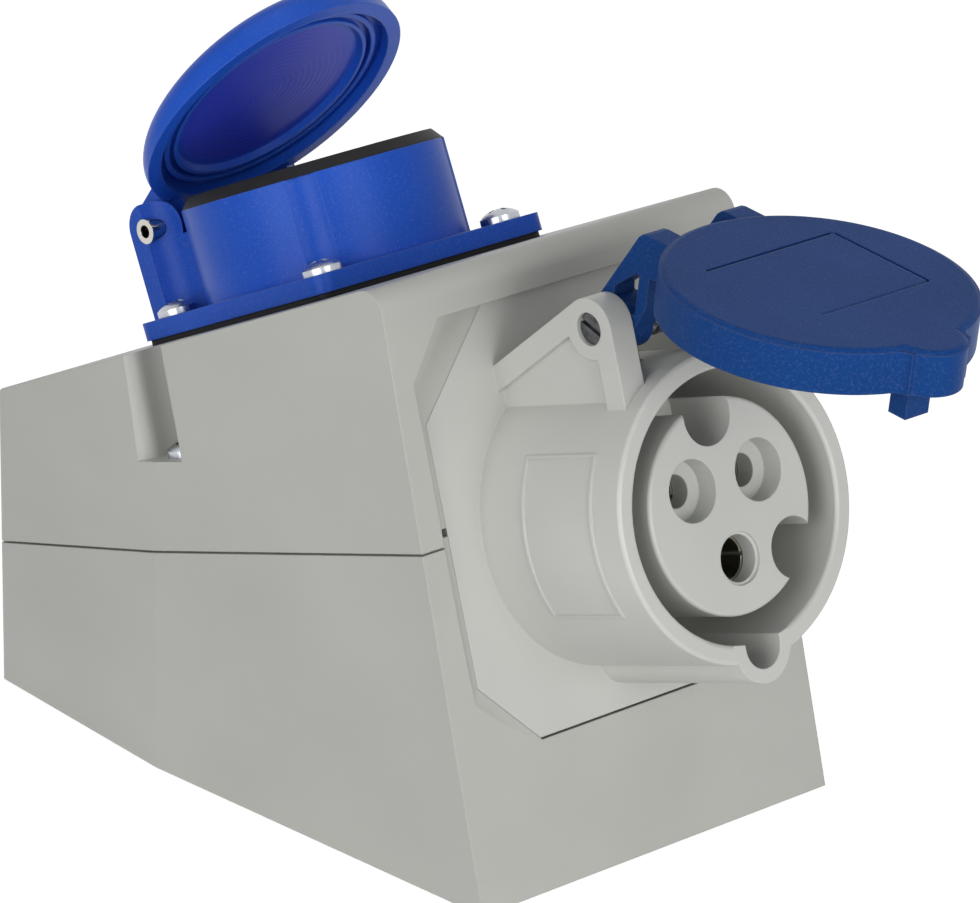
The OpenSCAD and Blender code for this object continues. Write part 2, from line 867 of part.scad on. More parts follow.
// Height of the lid's seal in front of the lid's rim
seal_stand = 1.25;
lid_rim = collar_reach + lid_gap + seal_stand;
lid_wall = 2.2;
lid_top = 2.5;
lid_round = 1.3;
lid_nose = 6.6;
lid_nose_blend = 2.4;
lid_nose_reach = 30.2;
arm_outer = ear_outer - ear_thick - 0.3;
arm_thick = 4.6;
knuckle = 4.9;
tab_inner = 19.9;
tab_outer = 23.6;
tab_half = 2.65;
tab_drop = 6.5;
line_width = 0.7;
line_depth = 0.5;
field_near = -12.3;
field_far = 9.2;
field_left = -13.7;
field_right = 15.4;

module round_lid_swing() {
    at_socket() translate([-hinge_rise, 0, hinge_reach]) rotate([0, -lid_open, 0])
        translate([hinge_rise, 0, -hinge_reach]) children();
}

module lid_shell_profile(radius) {
    top = lid_rim + lid_height;
    translate([0, lid_rim]) square([radius, lid_height - lid_round]);
    translate([0, top - 2 * lid_round]) square([radius - lid_round, 2 * lid_round]);
    translate([radius - lid_round, top - lid_round]) circle(lid_round);
}

// Outline of the lid with its nose blended into the round
module lid_outline(radius, half, reach, blend) {
    circle(radius);
    keyway(half, reach);
    side = sqrt((radius + blend) * (radius + blend) - (half + blend) * (half + blend));
    for (turn = [0, 1]) mirror([0, turn]) difference() {
        polygon([[side, 0], [side, half + blend], [side * radius / (radius + blend),
            (half + blend) * radius / (radius + blend)], [radius - 4, 0]]);
        translate([side, half + blend]) circle(blend);
    }
}

// Side view of a hinge arm, from the knuckle over the rim to the lid
module arm_profile() {
    top = lid_rim + lid_height;
    edge = lid_radius - lid_wall;
    back = collar_radius + 0.6;
    difference() {
        union() {
            translate([-hinge_rise, hinge_reach]) circle(knuckle);
            polygon([
                [-hinge_rise - 4, hinge_reach + 2.8], [-hinge_rise + 3.7, top - 1.6],
                [-hinge_rise + 4.6, top - 0.8], [-hinge_rise + 5.6, top - 0.6], [-edge + 1, top - 0.6],
                [-edge + 1, lid_rim], [-back, lid_rim], [-back, hinge_reach + 5.3],
                [-hinge_rise + knuckle, hinge_reach + 0.5], [-hinge_rise, hinge_reach - 2]
            ]);
        }
        difference() {
            polygon([
                [-hinge_rise - 0.4, hinge_reach + 6.3], [-hinge_rise + 4.2, hinge_reach + 10.5],
                [-hinge_rise + 4.8, hinge_reach + 10], [-hinge_rise + 4.8, hinge_reach + 3],
                [-hinge_rise, hinge_reach + 3]
            ]);
            translate([-hinge_rise, hinge_reach]) circle(knuckle);
        }
    }
}

// The lid's solid body, its upper edge rounded all the way round
module lid_body() {
    top = lid_rim + lid_height;
    translate([0, 0, lid_rim]) linear_extrude(lid_height - 0.4 * lid_round)
        lid_outline(lid_radius, lid_nose, lid_nose_reach, lid_nose_blend);
    rotate_extrude() lid_shell_profile(lid_radius);
    intersection() {
        union() {
            translate([lid_nose_reach - lid_nose, 0, 0]) rotate_extrude() lid_shell_profile(lid_nose);
            translate([0, 0, lid_rim]) rotate([90, 0, 90]) linear_extrude(lid_nose_reach - lid_nose)
                nose_section();
        }
        translate([lid_radius - 6, -far / 2, 0]) cube([far, far, top]);
    }
}

// Cross-section of the nose, rounded like the lid's edge
module nose_section() {
    low = lid_height - lid_round;
    translate([-lid_nose, 0]) square([2 * lid_nose, low]);
    translate([lid_round - lid_nose, 0]) square([2 * (lid_nose - lid_round), lid_height]);
    for (y = [lid_round - lid_nose, lid_nose - lid_round]) translate([y, low]) circle(lid_round);
}

module round_lid() {
    top = lid_rim + lid_height;
    color(blue) round_lid_swing() difference() {
        union() {
            difference() {
                lid_body();
                translate([0, 0, lid_rim - 1]) cylinder(h = lid_height - lid_top + 1, r = lid_radius - lid_wall);
                translate([0, 0, lid_rim - 1]) linear_extrude(lid_height - lid_top + 1)
                    keyway(lid_nose - lid_wall, lid_nose_reach - lid_wall);
            }
            for (side = [0, 1]) mirror([0, side, 0]) translate([0, arm_outer, 0]) rotate([90, 0, 0])
                linear_extrude(arm_thick) arm_profile();
            translate([tab_inner, -tab_half, lid_rim - tab_drop])
                cube([tab_outer - tab_inner, 2 * tab_half, tab_drop + lid_height - lid_top + bite]);
            translate([0, 0, lid_rim + 2]) difference() {
                cylinder(h = lid_height - lid_top - 2 + bite, r = 19.4);
                translate([0, 0, -1]) cylinder(h = far, r = 17.9);
            }
        }
        translate([-hinge_rise, 0, hinge_reach]) rotate([90, 0, 0])
            cylinder(h = far / 4, r = hinge_pin + slide, center = true);
        translate([0, 0, top - line_depth]) field_lines();
        translate([-hinge_rise, coil_half, hinge_reach]) rotate([0, 90 - leg_turn, 0])
            translate([-coil_radius, 0, 11]) cylinder(h = 6.3, r = wire_hole_radius);
        translate([tab_inner - 1, -far / 2, lid_rim - tab_drop]) rotate([0, 35, 0])
            translate([-5, 0, -5]) cube([5, far, 6]);
    }
}

// Three plain engraved lines on the lid, the last one shallow
module field_lines() {
    half = line_width / 2;
    across = field_right - field_left;
    translate([field_near - half, field_left, 0]) cube([line_width, across, 2]);
    translate([field_near, field_right - half, 0]) cube([field_far - field_near, line_width, 2]);
    translate([field_far - half, field_left + 4.5, 0.35]) cube([line_width, across - 4.5, 2]);
}

module round_lid_seal() {
    radius = lid_radius - lid_wall - slide;
    low = lid_rim - seal_stand;
    color(black) round_lid_swing() difference() {
        rotate_extrude() polygon([
            [19.4 + slide, low], [radius - 1, low], [radius, low + 1],
            [radius, lid_rim + lid_height - lid_top], [19.4 + slide, lid_rim + lid_height - lid_top]
        ]);
        translate([15, -lid_nose + 1.5, low - 1]) cube([20, 2 * lid_nose - 3, far]);
    }
}

pin_head = 2.7;
pin_head_sink = 2.3;
pin_head_height = 1.5;

module round_hinge_pin() {
    color(steel) at_socket() translate([-hinge_rise, 0, hinge_reach]) rotate([90, 0, 0]) difference() {
        union() {
            translate([0, 0, 0.2 - ear_outer]) cylinder(h = 2 * ear_outer - pin_head_sink, r = hinge_pin);
            translate([0, 0, ear_outer - pin_head_sink]) cylinder(h = pin_head_height, r = pin_head);
        }
        rotate([0, 0, 54]) translate([-5, -0.4, ear_outer - pin_head_sink + pin_head_height - 0.8]) cube([10, 0.8, 5]);
    }
}

// Torsion spring round the pin

coil_radius = 3.5;
wire_radius = 0.5;
coil_turns = 5;
coil_half = 4.2;
coil_steps = 20;
wire_sides = 8;
wire_hole_radius = 0.9;
// Direction of the spring's front leg in the closed lid
leg_turn = 45;

function coil_point(a, y) = [-coil_radius * cos(a), y, coil_radius * sin(a)];
function coil_out(a) = [-cos(a), 0, sin(a)];
function coil_run(a) = [sin(a), 0, cos(a)];

// The spring's rear leg points to the collar
spring_start = -90;
spring_sweep = coil_turns * 360 + 90 - spring_start - leg_turn - lid_open;
spring_end = spring_start + spring_sweep;
spring_count = coil_turns * coil_steps;

// Each entry is a point on the wire and the outward direction there
function spring_path() = concat(
    [[coil_point(spring_start, -coil_half) - leg_back * coil_run(spring_start), coil_out(spring_start)]],
    [for (i = [0:spring_count]) let (a = spring_start + spring_sweep * i / spring_count)
        [coil_point(a, -coil_half + 2 * coil_half * i / spring_count), coil_out(a)]],
    [[coil_point(spring_end, coil_half) + leg_front * coil_run(spring_end), coil_out(spring_end)]]
);

leg_back = hinge_rise - collar_radius + 0.8;
leg_front = 15.5;

module swept_wire(path, radius) {
    rings = len(path);
    points = [for (p = path) for (k = [0:wire_sides - 1]) let (t = 360 * k / wire_sides)
        p[0] + radius * (cos(t) * p[1] + sin(t) * [0, 1, 0])];
    walls = [for (i = [0:rings - 2]) for (k = [0:wire_sides - 1]) let (n = (k + 1) % wire_sides)
        [i * wire_sides + k, i * wire_sides + n, (i + 1) * wire_sides + n, (i + 1) * wire_sides + k]];
    start = [for (k = [wire_sides - 1:-1:0]) k];
    end = [for (k = [0:wire_sides - 1]) (rings - 1) * wire_sides + k];
    polyhedron(points, concat(walls, [start, end]));
}

module round_lid_spring() {
    color(steel) at_socket() translate([-hinge_rise, 0, hinge_reach]) swept_wire(spring_path(), wire_radius);
}

// Flush socket body: flange, collar, well floor and hinge posts

flange_low = flush_gasket_thick;
flange_high = flush_gasket_thick + flush_flange;
skirt_radius = 22;
skirt_low = -12;
well_floor = flush_reach - flush_well_depth;
floor_thick = 2;
groove_radius = 6.3;
post_thick = 4.2;
post_radius = 4.8;
flap_axis = flush_reach - flap_hinge_drop;
web_inner = 14;
web_thick = 2;
rivet_radius = 1.6;

module flush_plan(grow = 0) {
    half = flush_side / 2 + grow;
    soft_rect(-half, half, half, 3);
}

module hinge_posts() {
    for (side = [0, 1]) mirror([0, side, 0]) {
        translate([-flap_hinge, post_outer, 0]) rotate([90, 0, 0]) linear_extrude(post_thick) {
            translate([0, flap_axis]) circle(post_radius);
            translate([-post_radius, flange_high - bite]) square([post_radius + 1, flap_axis - flange_high + bite]);
        }
        translate([-flap_hinge - 1, web_inner, flange_high - bite])
            cube([flap_hinge + 1 - 17, web_thick, flap_axis - 2 - flange_high + bite]);
    }
}

module flush_socket_body() {
    color(flush_blue) at_flush() difference() {
        union() {
            translate([0, 0, flange_low]) linear_extrude(flush_flange) flush_plan();
            translate([-flap_hinge - post_radius, -post_outer, flange_low])
                cube([flap_hinge + post_radius - 20, 2 * post_outer, flush_flange]);
            translate([0, 0, flange_low]) cylinder(h = flush_reach - flange_low, r = flush_collar);
            translate([0, 0, skirt_low]) cylinder(h = flange_low - skirt_low + bite, r = skirt_radius);
            hinge_posts();
        }
        translate([0, 0, well_floor]) cylinder(h = far, r = flush_well);
        translate([0, 0, skirt_low - 1]) cylinder(h = well_floor - floor_thick - skirt_low + 1, r = flush_well);
        for (y = [-pin_spacing / 2, pin_spacing / 2]) translate([0, y, -far / 2]) cylinder(h = far, d = 5.8);
        for (x = [-1, 1]) translate([x * clip_middle - clip_thick / 2 - 0.3, -clip_half - 0.3, -far / 8])
            cube([clip_thick + 0.6, 2 * clip_half + 0.6, far / 4]);
        translate([0, 0, -far / 8]) cylinder(h = far / 4, r = centre_screw + 0.2);
        for (x = [-1, 1], y = [-1, 1]) translate([x * flush_pitch / 2, y * flush_pitch / 2, 0]) {
            translate([0, 0, -1]) cylinder(h = 10, r = flush_screw_shank + 0.3);
            translate([0, 0, flange_high]) cylinder(h = far, r = groove_radius);
        }
        translate([-flap_hinge, 0, flap_axis]) rotate([90, 0, 0])
            cylinder(h = far / 2, r = rivet_radius + slide, center = true);
    }
}

module flush_gasket() {
    color(black) at_flush() linear_extrude(flush_gasket_thick) difference() {
        flush_plan(-0.5);
        circle(skirt_radius + fit);
        for (x = [-1, 1], y = [-1, 1]) translate([x * flush_pitch / 2, y * flush_pitch / 2])
            circle(flush_screw_shank + 0.3);
    }
}

module flush_screws() {
    color(steel) at_flush_screws() translate([0, 0, flange_high])
        pan_screw(7, 2.4, 2 * flush_screw_shank, flange_high + flush_screw_grip - 0.5);
}

// Flush socket inner parts

clip_middle = 18.8;
clip_thick = 0.8;
clip_half = 3;
clip_top = 14;
centre_screw = 1.5;
carrier_top = well_floor - floor_thick;
carrier_low = -13;
flush_tube = 3.3;
flush_bore = 2.5;

module flush_carrier() {
    color(light_grey) at_flush() difference() {
        translate([0, 0, carrier_low]) cylinder(h = carrier_top - carrier_low, r = flush_well - fit);
        for (y = [-pin_spacing / 2, pin_spacing / 2]) translate([0, y, -far / 2])
            cylinder(h = far, r = flush_tube + slide);
        for (x = [0, 1]) mirror([x, 0, 0]) translate([clip_middle - clip_thick / 2 - 0.3, -clip_half - 0.3, -far / 2])
            cube([far, 2 * clip_half + 0.6, far]);
        translate([0, 0, -10]) cylinder(h = far, r = centre_screw + slide);
    }
}

module flush_centre_screw() {
    color(steel) at_flush() translate([0, 0, well_floor]) pan_screw(5.4, 1.9, 2 * centre_screw, 11);
}

// Split tube contact with a terminal under the carrier
module flush_contact() {
    low = carrier_low - 8;
    difference() {
        union() {
            translate([0, 0, carrier_low - bite]) cylinder(h = carrier_top - 0.2 - carrier_low + bite, r = flush_tube);
            translate([0, 0, low]) cylinder(h = 8, r = 4.6);
        }
        translate([0, 0, carrier_low + 2]) cylinder(h = far, r = flush_bore);
        translate([0, 0, low - 1]) cylinder(h = 8, r = wire_hole);
        translate([0, 0, low + 4]) rotate([0, 90, 0]) cylinder(h = 20, r = terminal_screw + slide);
        translate([-far / 2, -0.3, carrier_top - 9]) cube([far, 0.6, far]);
    }
}

module flush_line_contact() {
    color(brass) at_flush() translate([0, -pin_spacing / 2, 0]) rotate([0, 0, -90]) flush_contact();
}

module flush_neutral_contact() {
    color(brass) at_flush() translate([0, pin_spacing / 2, 0]) rotate([0, 0, 90]) flush_contact();
}

module flush_terminal_screws() {
    color(steel) at_flush() for (turn = [-90, 90]) rotate([0, 0, turn])
        translate([pin_spacing / 2 + 4.6, 0, carrier_low - 4]) rotate([0, 90, 0])
        pan_screw(4.4, 1.5, 2 * terminal_screw, 4.6 - wire_hole + 0.6);
}

module flush_earth_clip() {
    low = carrier_low - clip_thick;
    color(brass) at_flush() difference() {
        union() {
            translate([-clip_middle - clip_thick / 2, -clip_half, low])
                cube([2 * clip_middle + clip_thick, 2 * clip_half, clip_thick]);
            for (x = [-1, 1]) translate([x * clip_middle - clip_thick / 2, -clip_half, low])
                cube([clip_thick, 2 * clip_half, clip_top - low]);
        }
        translate([0, 0, low - 1]) cylinder(h = 5, r = 1.6);
    }
}

seal_rise = 2;

module flush_collar_seal() {
    color(black) at_flush() rotate_extrude()
        polygon([
            [flush_well + 0.5, flush_reach], [flush_collar - 0.1, flush_reach],
            [flush_collar - 1.7, flush_reach + seal_rise], [flush_well + 0.5, flush_reach + seal_rise]
        ]);
}

// Flush lid, drawn closed and then swung open about its rivet

flap_rim = flush_reach + 0.9;
flap_round = 4;
flap_knuckle = 3.4;
flap_arm_outer = post_outer - post_thick - 0.3;
flap_arm_inner = 10.2;

module flush_lid_swing() {
    at_flush() translate([-flap_hinge, 0, flap_axis]) rotate([0, -flap_open, 0])
        translate([flap_hinge, 0, -flap_axis]) children();
}

// The lid's back is a rounded disc that leans, cut off at the rim
module flap_shell() {
    intersection() {
        rotate([0, -flap_slope, 0]) rotate_extrude() {
            translate([0, -3]) square([flap_radius, flap_height + 3 - flap_round]);
            translate([0, -3]) square([flap_radius - flap_round, flap_height + 3]);
            intersection() {
                translate([flap_radius - flap_round, flap_height - flap_round]) circle(flap_round);
                square([flap_radius, flap_height]);
            }
        }
        translate([-far / 2, -far / 2, 0]) cube([far, far, far / 4]);
    }
}

// Half section of the lid's hollow, the rim at height zero
module flap_hollow() {
    // Height of the inner rings above the rim, clear of the collar's seal
    ring = 1.45;
    translate([21.6, -1]) square([1.6, 3.4]);
    translate([0, -1]) square([21.7, ring + 1]);
    translate([19.6, -1]) square([1.1, 3.6]);
    polygon([[0, -1], [18.9, -1], [18.9, 1.6], [18.3, 2.6], [4, 2.9], [0, 2.9]]);
}

module flap_arm() {
    left = -flap_hinge - flap_knuckle;
    right = -flap_hinge + flap_knuckle;
    translate([-flap_hinge, flap_axis]) circle(flap_knuckle);
    polygon([
        [left, flap_axis], [left, flap_rim + 3.4], [left + 0.9, flap_rim + 4.2], [-20.8, flap_rim + 4.2],
        [-20.8, flap_rim + 1.5], [right, flap_rim + 1.5], [right, flap_axis]
    ]);
}

module flush_lid() {
    color(flush_blue) flush_lid_swing() difference() {
        union() {
            difference() {
                translate([0, 0, flap_rim]) difference() {
                    flap_shell();
                    rotate_extrude() flap_hollow();
                }
                for (side = [0, 1]) mirror([0, side, 0]) translate([-flap_hinge, post_outer + 0.4, flap_axis])
                    rotate([90, 0, 0]) cylinder(h = post_thick + 0.8, r = post_radius + 0.4);
            }
            for (side = [0, 1]) mirror([0, side, 0]) translate([0, flap_arm_outer, 0]) rotate([90, 0, 0])
                linear_extrude(flap_arm_outer - flap_arm_inner) flap_arm();
        }
        translate([-flap_hinge, 0, flap_axis]) rotate([90, 0, 0])
            cylinder(h = far / 2, r = rivet_radius + slide, center = true);
    }
}

module flush_hinge_rivet() {
    color(steel) at_flush() translate([-flap_hinge, 0, flap_axis]) rotate([90, 0, 0]) difference() {
        union() {
            cylinder(h = 2 * post_outer, r = rivet_radius, center = true);
            for (side = [0, 1]) mirror([0, 0, side]) translate([0, 0, post_outer]) cylinder(h = 0.5, r = 2.2);
        }
        cylinder(h = 4 * post_outer, r = 1.15, center = true);
    }
}

rear_housing();
front_cover();
housing_seal();
cover_screws();
cable_grommet();
round_socket_housing();
round_socket_gasket();
round_socket_screws();
contact_insert();
contact_carrier();
insert_screws();
line_contact();
neutral_contact();
earth_contact();
terminal_screws();
round_lid();
round_lid_seal();
round_hinge_pin();
round_lid_spring();
flush_socket_body();
flush_gasket();
flush_screws();
flush_carrier();
flush_centre_screw();
flush_line_contact();
flush_neutral_contact();
flush_earth_clip();
flush_terminal_screws();
flush_collar_seal();
flush_lid();
flush_hinge_rivet();
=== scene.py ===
"""Wall socket box with two outlets: finishes, fine pieces, floor, lights and camera."""

import math

import bmesh
import bpy
from mathutils import Matrix, Vector


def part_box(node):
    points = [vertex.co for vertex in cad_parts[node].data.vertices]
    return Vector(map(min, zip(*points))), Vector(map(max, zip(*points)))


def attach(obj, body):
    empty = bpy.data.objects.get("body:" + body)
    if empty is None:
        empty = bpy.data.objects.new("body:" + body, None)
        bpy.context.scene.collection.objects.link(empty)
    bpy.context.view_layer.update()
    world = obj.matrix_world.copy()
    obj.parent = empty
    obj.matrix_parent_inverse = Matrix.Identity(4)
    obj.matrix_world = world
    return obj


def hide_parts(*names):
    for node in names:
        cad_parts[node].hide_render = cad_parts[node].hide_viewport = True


bl_info = {
    "name": "Wall socket box",
    "version": (1, 1, 0),
    "blender": (4, 5, 0),
    "location": "3D View > Sidebar > Socket box",
    "description": "Dresses the packed wall socket box with its real finishes",
    "category": "Object",
}

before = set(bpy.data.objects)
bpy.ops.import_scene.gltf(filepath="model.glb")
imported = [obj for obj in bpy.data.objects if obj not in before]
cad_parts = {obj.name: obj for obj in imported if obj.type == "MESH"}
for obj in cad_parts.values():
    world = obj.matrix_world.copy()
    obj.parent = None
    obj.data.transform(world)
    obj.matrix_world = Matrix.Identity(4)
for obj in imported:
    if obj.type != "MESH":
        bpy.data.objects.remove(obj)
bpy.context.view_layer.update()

MM = 0.001

# The round socket's axis points 17 degrees above the floor, and its lid stands open by 65.7 degrees
SOCKET_TURN = math.radians(90 - 17)
ROUND_LID_OPEN = 65.7

# The cover rises by 24.5 degrees, and the flush socket's lid stands open by 29.8 degrees more
FLUSH_LID_TURN = math.radians(-24.5 - 29.8)

# Centre of the flush lid's rim from the rivet: along the lid, and above it, in mm
FLUSH_LID_REACH = (25.6, 0, 2.5)

# Dish inside the flush lid, in mm: full painted glow, end of the painted glow, top of its floor, and pitch of the
# turning marks
DISH_FULL = 16.5
DISH_END = 18.8
DISH_FLOOR = (3.4, 3.8)
DISH_PITCH = 1.2

# Torsion spring: turns, half its width in mm, steps of the spin, start of the fixed leg and turn of the lid's
# leg in degrees, and both legs' lengths in mm
SPRING_TURNS = 5
SPRING_HALF = 4.2
SPRING_STEPS = 140
SPRING_START = -90
SPRING_LEG_TURN = 45
SPRING_LEGS = (8.4, 15.5)

# Camera of the photo: place in mm, directions, lens and sensor in mm
PHOTO_EYE = (766.8, -705.03, 444.57)
PHOTO_AHEAD = (-0.6791, 0.6443, -0.3518)
PHOTO_UP = (-0.2638, 0.2331, 0.9360)
PHOTO_LENS = 237.14
PHOTO_SENSOR = 36.0

# Soft boxes: name, place and width in mm, and power in watts. They aim at the middle of the box
SOFT_BOXES = (
    ("softbox_side", (300, -950, 230), 700, 5.2),
    ("softbox_end", (950, -150, 260), 500, 4.3),
    ("softbox_top", (-100, -100, 1100), 700, 1.5),
)
SOFT_BOX_AIM = (20, 0, 55)

# Strength of the surroundings as a light, and what brings the lit floor up to white where it is seen
WORLD_LIGHT = 0.26
FLOOR_LIFT = 0.72


def colour(code):
    """A linear colour from the sRGB hex value that a maker's colour card gives."""
    parts = [int(code[i : i + 2], 16) / 255 for i in (0, 2, 4)]
    return [c / 12.92 if c <= 0.04045 else ((c + 0.055) / 1.055) ** 2.4 for c in parts] + [1.0]


def node(tree, kind, values=None, **settings):
    """Adds one node. A value is a constant, or a socket of another node to link from."""
    made = tree.nodes.new(kind)
    for name, setting in settings.items():
        setattr(made, name, setting)
    for name, value in (values or {}).items():
        socket = made.inputs[name]
        if isinstance(value, bpy.types.NodeSocket):
            tree.links.new(value, socket)
        else:
            socket.default_value = value
    return made


def new_material(name):
    """An empty node material with its output."""
    material = bpy.data.materials.new(name)
    material.use_nodes = True
    material.node_tree.nodes.clear()
    return material, material.node_tree, node(material.node_tree, "ShaderNodeOutputMaterial")


def finish_nodes(material, names):
    """Gives CAD nodes their finish, keeping their mesh as it is."""
    for name in names:
        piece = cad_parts[name]
        piece.data.materials.clear()
        piece.data.materials.append(material)


def middle_of(name):
    """Centre of a CAD node's box."""
    low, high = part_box(name)
    return (Vector(low) + Vector(high)) / 2


def seen_rays(tree):
    """One where a ray comes from the camera, a reflection or through glass, and nought for light on the object."""
    ray = node(tree, "ShaderNodeLightPath")
    seen = ray.outputs["Is Camera Ray"]
    for kind in ("Is Glossy Ray", "Is Transmission Ray"):
        seen = node(tree, "ShaderNodeMath", {0: seen, 1: ray.outputs[kind]}, operation="MAXIMUM").outputs[0]
    return seen


def moulded_plastic(
    name,
    base,
    shade,
    rough,
    grain=0.4,
    depth=0.010,
    edge=0.35,
    edge_highlight=0.25,
    pale=0.3,
    peak_sheen=0.0,
    waves=0.3,
    shine=0.5,
):
    """Injection-moulded thermoplastic.

    An even tone that the flow of the melt changes by a hair, the fine spark-eroded skin of the tool,
    a slight waviness that breaks up reflections, and rounded edges with a painted highlight that draws them lighter.
    Grain, depth and edge are in millimetres. Edge highlight says how strong the painted highlight on an edge is, peak
    sheen how strong the painted sheen on the grain's peaks is, and pale how far either goes towards white. Waves is the
    waviness and shine the gloss.
    """
    material, tree, output = new_material(name)
    place = node(tree, "ShaderNodeTexCoord").outputs["Object"]

    # Melt flow: patches of some 25 mm, drawn out along the box by a third
    drawn = node(tree, "ShaderNodeMapping", {"Vector": place, "Scale": (0.7, 1.0, 1.0)})
    flow = node(
        tree,
        "ShaderNodeTexNoise",
        {"Vector": drawn.outputs["Vector"], "Scale": 1 / (25 * MM), "Detail": 3.0, "Roughness": 0.45},
    )
    spread = node(tree, "ShaderNodeMapRange", {"Value": flow.outputs["Fac"], "From Min": 0.3, "From Max": 0.7})
    tone = node(
        tree,
        "ShaderNodeMix",
        {"Factor": spread.outputs["Result"], "A": colour(base), "B": colour(shade)},
        data_type="RGBA",
    )

    # Skin of the tool: the real grain is some 0.1 mm, drawn at about four times that so that it shows
    skin = node(
        tree, "ShaderNodeTexNoise", {"Vector": place, "Scale": 1 / (grain * MM), "Detail": 2.0, "Roughness": 0.65}
    )
    # Painted sheen: the grain's peaks are drawn lighter, towards the pale colour
    peaks = node(
        tree,
        "ShaderNodeMapRange",
        {"Value": skin.outputs["Fac"], "From Min": 0.52, "From Max": 0.72, "To Max": peak_sheen},
    )
    # Pale colour of the painted sheen and of the painted edge highlight
    light = [c + (1 - c) * pale for c in colour(base)[:3]] + [1.0]
    with_peak_sheen = node(
        tree,
        "ShaderNodeMix",
        {"Factor": peaks.outputs["Result"], "A": tone.outputs["Result"], "B": light},
        data_type="RGBA",
    )

    # Edges: how far the rounded normal leans from the flat one, which sets the painted highlight that draws them
    # lighter
    edges = node(tree, "ShaderNodeBevel", {"Radius": edge * MM}, samples=6)
    flat = node(tree, "ShaderNodeNewGeometry").outputs["Normal"]
    lean = node(tree, "ShaderNodeVectorMath", {0: edges.outputs["Normal"], 1: flat}, operation="DOT_PRODUCT")
    highlit_edges = node(
        tree,
        "ShaderNodeMapRange",
        {"Value": lean.outputs["Value"], "From Min": 1.0, "From Max": 0.7, "To Max": edge_highlight},
    )
    # Painted highlight: the edges are drawn lighter, towards the pale colour
    surface = node(
        tree,
        "ShaderNodeMix",
        {"Factor": highlit_edges.outputs["Result"], "A": with_peak_sheen.outputs["Result"], "B": light},
        data_type="RGBA",
    )

    # Gloss changes with the flow, and is a touch higher on the edges
    matt = node(
        tree, "ShaderNodeMapRange", {"Value": flow.outputs["Fac"], "To Min": rough - 0.05, "To Max": rough + 0.06}
    )
    gloss = node(tree, "ShaderNodeMath", {0: highlit_edges.outputs["Result"], 1: 0.2}, operation="MULTIPLY")
    gloss = node(tree, "ShaderNodeMath", {0: matt.outputs["Result"], 1: gloss.outputs[0]}, operation="SUBTRACT")

    # Relief: a waviness over 9 mm with the grain on top
    wave = node(tree, "ShaderNodeTexNoise", {"Vector": place, "Scale": 1 / (9 * MM), "Detail": 1.0})
    relief = node(
        tree,
        "ShaderNodeBump",
        {
            "Strength": waves,
            "Distance": 0.05 * MM,
            "Height": wave.outputs["Fac"],
            "Normal": edges.outputs["Normal"],
        },
    )
    relief = node(
        tree,
        "ShaderNodeBump",
        {"Strength": 1.0, "Distance": depth * MM, "Height": skin.outputs["Fac"], "Normal": relief.outputs["Normal"]},
    )
    shader = node(
        tree,
        "ShaderNodeBsdfPrincipled",
        {
            "Base Color": surface.outputs["Result"],
            "Roughness": gloss.outputs[0],
            "IOR": 1.5,
            "Specular IOR Level": shine,
            "Normal": relief.outputs["Normal"],
        },
    )
    tree.links.new(shader.outputs["BSDF"], output.inputs["Surface"])
    return material


def moulded_rubber(name, base, dust):
    """Moulded EPDM: dull black, with the talc that clings to a new seal."""
    material, tree, output = new_material(name)
    place = node(tree, "ShaderNodeTexCoord").outputs["Object"]
    powder = node(tree, "ShaderNodeTexNoise", {"Vector": place, "Scale": 1 / (3 * MM), "Detail": 5.0, "Roughness": 0.7})
    amount = node(
        tree,
        "ShaderNodeMapRange",
        {"Value": powder.outputs["Fac"], "From Min": 0.5, "From Max": 0.8, "To Max": 0.3},
    )
    tone = node(
        tree,
        "ShaderNodeMix",
        {"Factor": amount.outputs["Result"], "A": colour(base), "B": colour(dust)},
        data_type="RGBA",
    )
    pores = node(tree, "ShaderNodeTexNoise", {"Vector": place, "Scale": 1 / (0.35 * MM), "Detail": 2.0})
    edges = node(tree, "ShaderNodeBevel", {"Radius": 0.3 * MM}, samples=4)
    relief = node(
        tree,
        "ShaderNodeBump",
        {"Strength": 1.0, "Distance": 0.02 * MM, "Height": pores.outputs["Fac"], "Normal": edges.outputs["Normal"]},
    )
    dull = node(
        tree, "ShaderNodeMapRange", {"Value": amount.outputs["Result"], "To Min": 0.55, "To Max": 0.85}
    )
    shader = node(
        tree,
        "ShaderNodeBsdfPrincipled",
        {
            "Base Color": tone.outputs["Result"],
            "Roughness": dull.outputs["Result"],
            "IOR": 1.52,
            "Specular IOR Level": 0.2,
            "Normal": relief.outputs["Normal"],
        },
    )
    tree.links.new(shader.outputs["BSDF"], output.inputs["Surface"])
    return material


